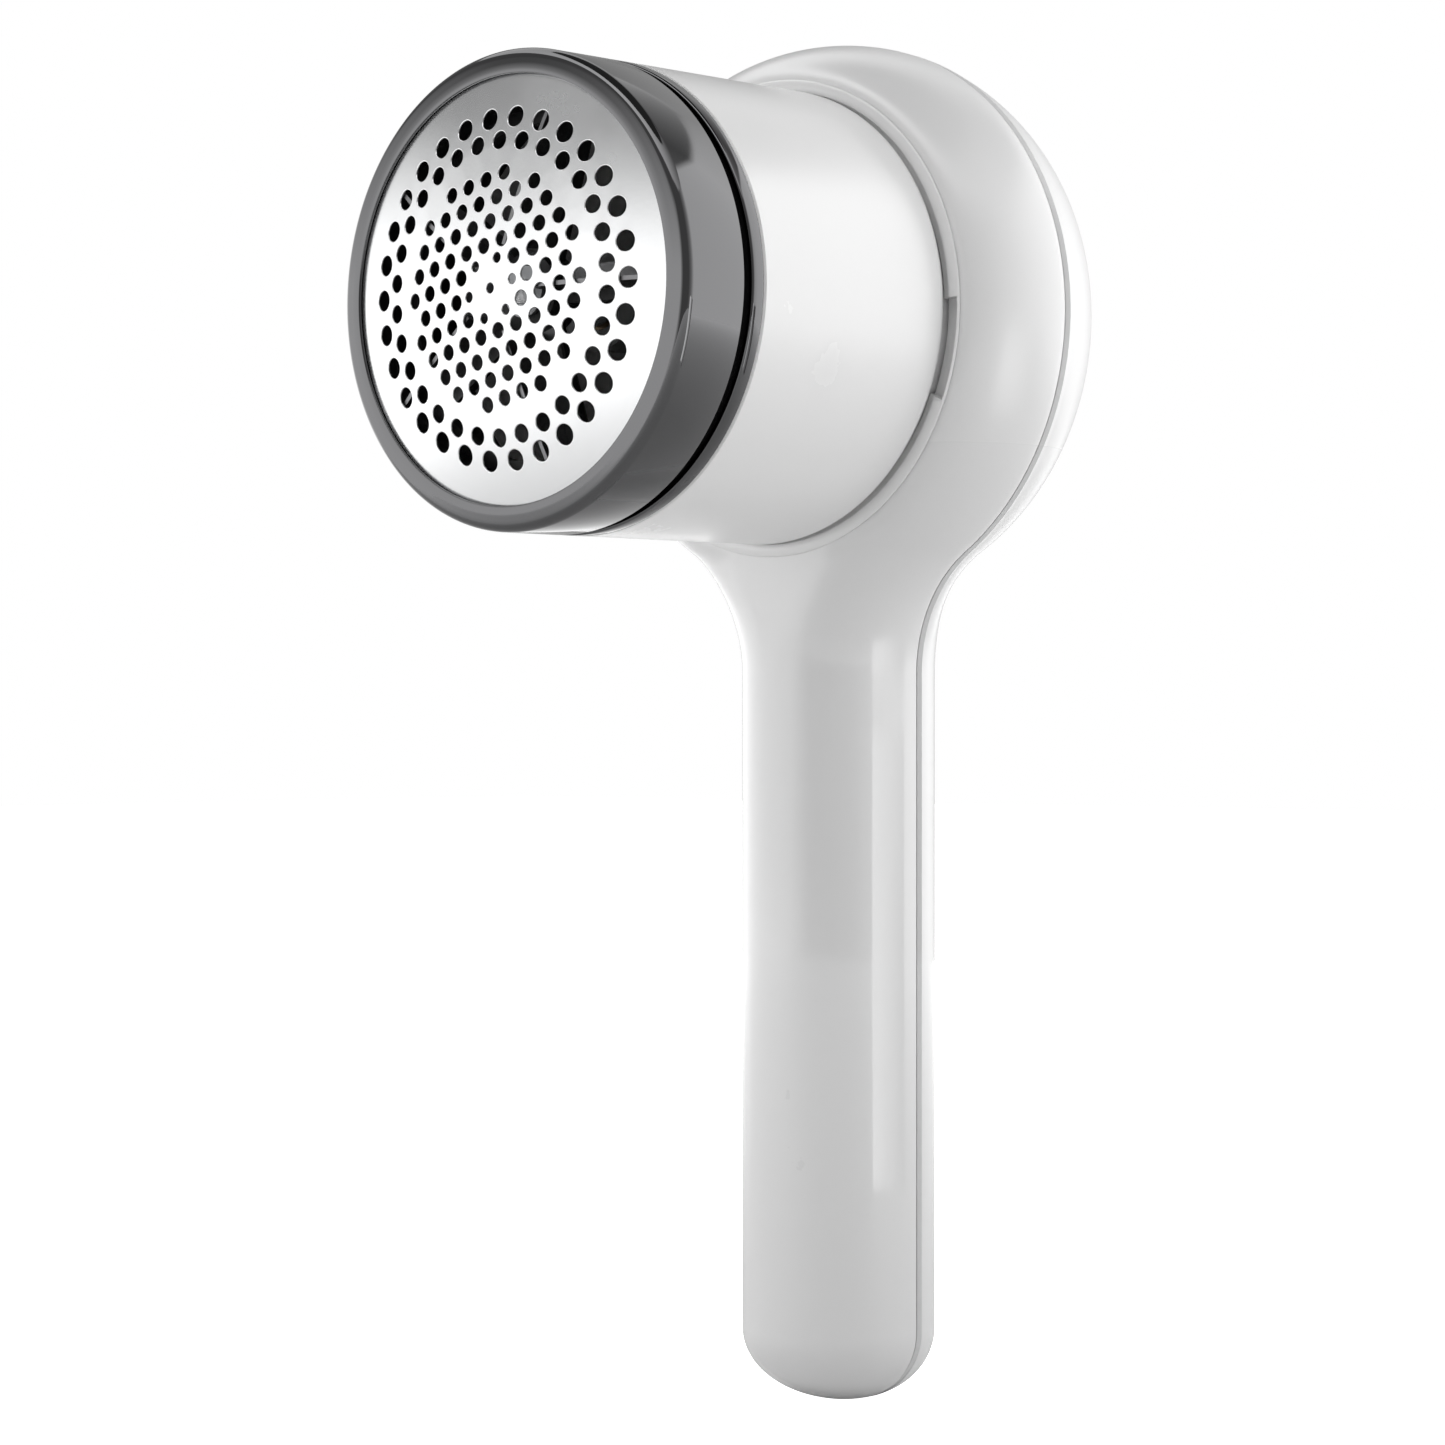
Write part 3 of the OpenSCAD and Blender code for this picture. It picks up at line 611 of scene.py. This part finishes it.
# %% [markdown]
# ## Collar, cup and rings
# The lip round the cup's seat is a separate bright ring. A fingertip notch is cut in its right
# side, so the cup can be pulled out.

# %% Lip round the cup
lip = spin_profile([(26.7, 47), (27.85, 47), (27.95, 46.25), (29.3, 46.25), (29.5, 46.4),
                    (29.5, 46.55), (28.35, 46.55), (28.35, 48.5), (26.7, 48.5)])
lip = soften(cut_away(lip, finger_notch()), 0.06, angle=50)
finish_piece("collar_lip", lip, "housing", "lip white", ["collar_ring"])

# %% Cup
cup = spin_profile([(26, 13.1), (27.7, 13.1), (28, 13.4)] + arc((26.5, 44.6), 1.5, 0, 90, 10)
                   + [(26.45, 48.2), (26.05, 48.6), (25, 48.6), (25, 44.5), (26, 43)])
finish_piece("lint_barrel", soften(cup, 0.12, angle=50), "cup", "cup white",
             ["lint_cup"])

# %% [markdown]
# The guard ring sits in front of a black collar that holds its bayonet, and a thin plated ring
# closes the barrel behind it. The guard's front edge is rolled round, with a flat lip that
# presses on the foil.

# %% Guard ring and trim ring
guard = spin_profile([(25, -0.25), (25.6, -0.24), (26.2, -0.18), (26.7, -0.08)]
                     + arc((26.8, 1.13), 1.2, -78, 0, 14)
                     + [(28, 9.6), (26.65, 9.6), (26.65, 0.2), (25, 0.2)], steps=240)
finish_piece("guard", soften(guard, 0.1, 3, angle=50), "guard", "black chrome",
             ["guard_ring"])
trim = spin_profile([(26.45, 11.05), (28, 11.05), (28, 13.05), (26.45, 13.05)], steps=240)
finish_piece("trim", soften(trim, 0.28, 3, angle=50), "cup", "black chrome",
             ["trim_ring"])

# %% [markdown]
# The bayonet's grooves are short runs of thread. A long block is bent round the axis and along
# its lead, and cut out of the collar three times.

# %% Black collar with its bayonet grooves
def bent_block(r0, r1, height, turn0, turn1, depth0, depth1, steps=16):
    """A block that follows a thread: radii, height, and the angle and depth of its two ends."""
    bm = bmesh.new()
    corners = [(r0, -0.5), (r1, -0.5), (r1, 0.5), (r0, 0.5)]
    edge = [bm.verts.new((r, depth0 + h * height, 0)) for r, h in corners]
    face = bm.faces.new(edge)
    bmesh.ops.rotate(bm, verts=bm.verts, cent=(0, 0, 0),
                     matrix=Matrix.Rotation(math.radians(-turn0), 3, "Y"))
    bmesh.ops.spin(bm, geom=[face], cent=(0, 0, 0), axis=(0, 1, 0),
                   dvec=(0, (depth1 - depth0) / steps, 0),
                   angle=math.radians(turn0 - turn1), steps=steps)
    bmesh.ops.recalc_face_normals(bm, faces=bm.faces)
    return bm


collar = spin_profile([(24.6, 2.6), (26.4, 2.6), (26.4, 13.1), (25.95, 13.1), (25.95, 17),
                       (24.6, 17)])
grooves = []
for third in (0, 120, 240):
    grooves.append(bent_block(25.3, 26.8, 2.2, third - 1.5, third + 71.5, 7.08, 3.43))
    grooves.append(bent_block(25.29, 26.81, 3, third + 58.5, third + 71.51, 3, 3, 4))
collar = cut_away(collar, *grooves)
finish_piece("bayonet", soften(collar, 0.05, 1, angle=50), "cup", "black plastic",
             ["bayonet_collar"])

# %% [markdown]
# ## Foil
# The foil is a thin dished sheet with 145 etched holes: two rings, a slightly turned honeycomb
# inside them, and seven small ones in the middle. A flat disc is filled between circles, then
# pressed onto a large ball, given its thickness, and its hole edges are rounded a little,
# because those edges are what glints.

# %% Where the holes are
BALL_R = (25 ** 2 + 3.3 ** 2) / (2 * 3.3)
BALL_DEPTH = 0.25 - 3.3 + BALL_R
PITCH, COMB_TURN = 2.93, math.radians(13.4)
holes = [(19.9, math.radians(12 * i), 1.2) for i in range(30)]
holes += [(17.2, math.radians(12 * i + 6), 1.05) for i in range(30)]
for u in range(-5, 6):
    for v in range(-5, 6):
        x, z = PITCH * (u + v / 2), PITCH * v * math.sqrt(3) / 2
        if 1.5 * PITCH < math.hypot(x, z) < 4.75 * PITCH:
            holes.append((math.hypot(x, z), math.atan2(z, x) + COMB_TURN, 0.9))
holes += [(3.6, math.radians(60 * i) + COMB_TURN, 0.6) for i in range(6)] + [(0, 0, 0.6)]
print(len(holes), "holes")

# %% Press the sheet
FOIL_T = 0.3
HOLE_STEPS = 28
foil = bmesh.new()
for r, turn, size in holes:
    ring = bmesh.ops.create_circle(foil, segments=HOLE_STEPS, radius=size)["verts"]
    bmesh.ops.translate(foil, verts=ring, vec=(r * math.cos(turn), r * math.sin(turn), 0))
edge = bmesh.ops.create_circle(foil, segments=ROUND_STEPS, radius=21.6)["verts"]
rim = list({e for v in edge for e in v.link_edges})
bmesh.ops.triangle_fill(foil, use_beauty=True, use_dissolve=False, edges=foil.edges[:],
                        normal=(0, 0, 1))
for radius in (22.5, 23.5, 24.5, 25.4, 26.3):
    grown = bmesh.ops.extrude_edge_only(foil, edges=rim)["geom"]
    moved = [g for g in grown if isinstance(g, bmesh.types.BMVert)]
    rim = [g for g in grown if isinstance(g, bmesh.types.BMEdge)]
    for v in moved:
        v.co *= radius / v.co.length
for v in foil.verts:
    across = v.co.length
    v.co = (v.co.x, BALL_DEPTH - math.sqrt(BALL_R ** 2 - across ** 2), v.co.y)
bmesh.ops.recalc_face_normals(foil, faces=foil.faces)
if sum(f.normal.y for f in foil.faces) > 0:
    bmesh.ops.reverse_faces(foil, faces=foil.faces)
foil_piece = finish_piece("foil", foil, "foil", "foil steel", ["cutting_foil"])
sheet = foil_piece.modifiers.new("thickness", "SOLIDIFY")
sheet.thickness, sheet.offset = FOIL_T / 1000, -1
rounding = foil_piece.modifiers.new("rounded holes", "BEVEL")
rounding.width, rounding.segments = 0.00012, 3
rounding.limit_method, rounding.angle_limit = "ANGLE", math.radians(60)
rounding.harden_normals = True

# %% [markdown]
# ## Button, bezel and light
# On the back a round button stands just proud of its bezel, with a shallow dish for the thumb.
# Below it a small clear light pipe ends flush with the shell.

# %% Button and bezel
def lifted(bm, z):
    bmesh.ops.translate(bm, verts=bm.verts, vec=(0, 0, z))
    return bm


button = spin_profile([(0, 66.9), (5.5, 66.9), (5.5, 67.3), (4.75, 67.3)]
                      + arc((4.35, 70.2), 0.4, 0, 90, 5) + [(3, 70.5), (1.5, 70.42), (0, 70.4)],
                      96, False)
finish_piece("thumb_button", soften(lifted(button, BUTTON_Z), 0.08, angle=50), "button",
             "grey plastic", ["power_button"])
bezel = spin_profile([(4.9, 67.5), (5.95, 67.5), (5.95, 69.75), (5.7, 70), (5.15, 70),
                      (4.9, 69.75)], 96)
finish_piece("bezel", soften(lifted(bezel, BUTTON_Z), 0.08, angle=50), "housing", "black chrome",
             ["button_bezel"])

# %% [markdown]
# ## Studio
# The shaver stands on a white floor inside a round tent of glowing cloth. The camera sees neither
# the tent nor how dim the floor is: it sees plain white, as on a cut-out product picture. Only the
# object sees the lights, so white pieces get a quiet middle and plated ones get dark bands.

# %% Directions, and putting a stage piece in place
view = Vector((-math.sin(VIEW_TURN), math.cos(VIEW_TURN), 0))      # straight away from the camera
side = Vector((view.y, -view.x, 0))                                # to the camera's right


def heading(turn):
    """Unit vector: degrees from straight behind the shaver, growing to the camera's right."""
    return view * math.cos(math.radians(turn)) + side * math.sin(math.radians(turn))


def stage_mesh(name, bm):
    mesh = bpy.data.meshes.new(name)
    bm.to_mesh(mesh)
    bm.free()
    return mesh


def put_on_stage(mesh, material, seen_by_camera):
    mesh.materials.append(material)
    obj = bpy.data.objects.new(mesh.name, mesh)
    obj.visible_camera = seen_by_camera
    bpy.context.scene.collection.objects.link(obj)


# %% [markdown]
# The floor glows more with distance, a little more on the right. That lifts the undersides
# without flattening them. A second, brighter shader is what the camera sees directly.

# %% Floor
FLOOR_HALF = 3
GLOW_EDGE = 129                             # the brighter side of the floor begins at this turn
GLOW_LEFT = (0.15, 0.9, 0.1, 0.9)           # near and far distance, least and most brightness
GLOW_RIGHT = (0.15, 0.9, 0.1, 1.2)
CAMERA_WHITE = 1.2
paper_look = bpy.data.materials.new("paper")
paper_look.use_nodes = True
tree = paper_look.node_tree
paper = tree.nodes["Principled BSDF"]
paper.name = "paper"
bright = tree.nodes.new("ShaderNodeBsdfPrincipled")
for shader, albedo in ((paper, 0.6), (bright, 0.9)):
    shader.inputs["Base Color"].default_value = (albedo, albedo, albedo, 1)
    shader.inputs["Roughness"].default_value = 0.9
    shader.inputs["Emission Color"].default_value = (1, 1, 1, 1)
paper.inputs["Specular IOR Level"].default_value = 0.1
bright.inputs["Emission Strength"].default_value = CAMERA_WHITE
where, far_out = tree.nodes.new("ShaderNodeTexCoord"), tree.nodes.new("ShaderNodeVectorMath")
far_out.operation = "LENGTH"
tree.links.new(where.outputs["Object"], far_out.inputs[0])
across, right = tree.nodes.new("ShaderNodeVectorMath"), tree.nodes.new("ShaderNodeMath")
across.operation, right.operation = "DOT_PRODUCT", "GREATER_THAN"
across.inputs[1].default_value = heading(GLOW_EDGE - 90)
right.inputs[1].default_value = 0
tree.links.new(where.outputs["Object"], across.inputs[0])
tree.links.new(across.outputs["Value"], right.inputs[0])
both = tree.nodes.new("ShaderNodeMix")
tree.links.new(right.outputs[0], both.inputs["Factor"])
for socket, (near_r, far_r, least, most) in (("A", GLOW_LEFT), ("B", GLOW_RIGHT)):
    rise = tree.nodes.new("ShaderNodeMapRange")
    rise.inputs["From Min"].default_value, rise.inputs["From Max"].default_value = near_r, far_r
    rise.inputs["To Min"].default_value, rise.inputs["To Max"].default_value = least, most
    tree.links.new(far_out.outputs["Value"], rise.inputs["Value"])
    tree.links.new(rise.outputs["Result"], both.inputs[socket])
tree.links.new(both.outputs[0], paper.inputs["Emission Strength"])
seen, pick = tree.nodes.new("ShaderNodeLightPath"), tree.nodes.new("ShaderNodeMixShader")
tree.links.new(seen.outputs["Is Camera Ray"], pick.inputs[0])
tree.links.new(paper.outputs[0], pick.inputs[1])
tree.links.new(bright.outputs[0], pick.inputs[2])
tree.links.new(pick.outputs[0], tree.nodes["Material Output"].inputs["Surface"])
ground = bmesh.new()
bmesh.ops.create_grid(ground, x_segments=1, y_segments=1, size=FLOOR_HALF)
put_on_stage(stage_mesh("floor", ground), paper_look, True)

# %% Glowing cloth
cloth = bpy.data.materials.new("tent cloth")
cloth.use_nodes = True
tree = cloth.node_tree
tree.nodes.remove(tree.nodes["Principled BSDF"])
shine, lit = tree.nodes.new("ShaderNodeEmission"), tree.nodes.new("ShaderNodeAttribute")
lit.attribute_name = "glow"
tree.links.new(lit.outputs["Fac"], shine.inputs["Strength"])
tree.links.new(shine.outputs[0], tree.nodes["Material Output"].inputs["Surface"])

# %% [markdown]
# The tent is lit by three soft lamps: a tall one at the right, a low wide one at the left, and a
# high one that covers the left and fades all the way round. Between the low lamps and the high one
# the cloth is dark, and that gap is the dark band across the guard ring's top.

# %% Light tent
TENT_R = 1.0
TENT_Z = (0.0, 0.25, 0.55, 0.9, 0.95, 1.35, 1.8)     # heights of the wall's rows
TURNS = 12
TENT_FILL = 0.3
LAMPS = (       # middle, half width and soft edge in degrees, lower and upper height, strength
    (75, 15, 45, 0, 0.9, 1.8),          # tall, at the right
    (285, 45, 30, 0, 0.3, 1.6),         # low and wide, at the left
    (240, 0, 180, 0.95, 1.8, 2.3),      # high, over the left and all round from there
)


def tent_glow(turn, z):
    """Brightness of the wall at a turn in degrees and a height in metres."""
    total = TENT_FILL
    for middle, half, soft, low, high, strength in LAMPS:
        away = abs((turn - middle + 180) % 360 - 180)
        if low <= z <= high:
            total += strength * min(1, max(0, (half + soft - away) / soft))
    return total


wall = bmesh.new()
row = bmesh.ops.create_circle(wall, segments=TURNS, radius=TENT_R)["verts"]
bmesh.ops.rotate(wall, verts=row, cent=(0, 0, 0),
                 matrix=Matrix.Rotation(VIEW_TURN + math.pi / 2, 3, "Z"))
edges = list({e for v in row for e in v.link_edges})
for low, high in zip(TENT_Z, TENT_Z[1:]):
    grown = bmesh.ops.extrude_edge_only(wall, edges=edges)["geom"]
    edges = [g for g in grown if isinstance(g, bmesh.types.BMEdge)]
    bmesh.ops.translate(wall, verts=[g for g in grown if isinstance(g, bmesh.types.BMVert)],
                        vec=(0, 0, high - low))
tent = stage_mesh("tent", wall)
glow = tent.attributes.new("glow", "FLOAT", "POINT")
for v in tent.vertices:
    turn = math.degrees(math.atan2(v.co @ side, v.co @ view)) % 360
    glow.data[v.index].value = tent_glow(turn, round(v.co.z, 3))
put_on_stage(tent, cloth, False)

# %% [markdown]
# A bright card lies on the floor to the right, with its far end bent up to the camera's height.
# The polished grip mirrors it as a straight pale strip down its right half. The card fades toward
# the back, so the strip has one sharp edge.

# %% Bent card
CARD_FROM, CARD_TO = GLOW_EDGE, 95          # turns of its bright edge and of its dark edge
CARD_GLOW, CARD_STEPS = 3.8, 12
CARD_ROWS = ((0.25, 0.001), (0.95, 0.001), (0.95, EYE_LEVEL))      # distance and height
GRIP_Y = 0.0225                             # the card is laid out round the grip's middle
card_bm = bmesh.new()
bmesh.ops.create_grid(card_bm, x_segments=CARD_STEPS, y_segments=len(CARD_ROWS) - 1, size=1)
card = stage_mesh("card", card_bm)
glow = card.attributes.new("glow", "FLOAT", "POINT")
for v in card.vertices:
    share = (v.co.x + 1) / 2
    out, z = CARD_ROWS[round(v.co.y) + 1]
    foot = heading(CARD_FROM + (CARD_TO - CARD_FROM) * share) * out
    v.co = (foot.x, foot.y + GRIP_Y, z)
    glow.data[v.index].value = CARD_GLOW * (1 - share)
put_on_stage(card, cloth, False)

# %% [markdown]
# Whatever misses tent and floor is a dim room, which the camera sees as white paper too.

# %% Room
ROOM_GLOW = 0.1
room = bpy.data.worlds.new("dim room")
room.use_nodes = True
sky = room.node_tree
dim, paper_white = sky.nodes["Background"], sky.nodes.new("ShaderNodeBackground")
for light, strength in ((dim, ROOM_GLOW), (paper_white, 1)):
    light.inputs["Color"].default_value = (1, 1, 1, 1)
    light.inputs["Strength"].default_value = strength
seen, pick = sky.nodes.new("ShaderNodeLightPath"), sky.nodes.new("ShaderNodeMixShader")
sky.links.new(seen.outputs["Is Camera Ray"], pick.inputs[0])
sky.links.new(dim.outputs[0], pick.inputs[1])
sky.links.new(paper_white.outputs[0], pick.inputs[2])
sky.links.new(pick.outputs[0], sky.nodes["World Output"].inputs["Surface"])
bpy.context.scene.world = room
bpy.context.scene.view_settings.view_transform = "Standard"
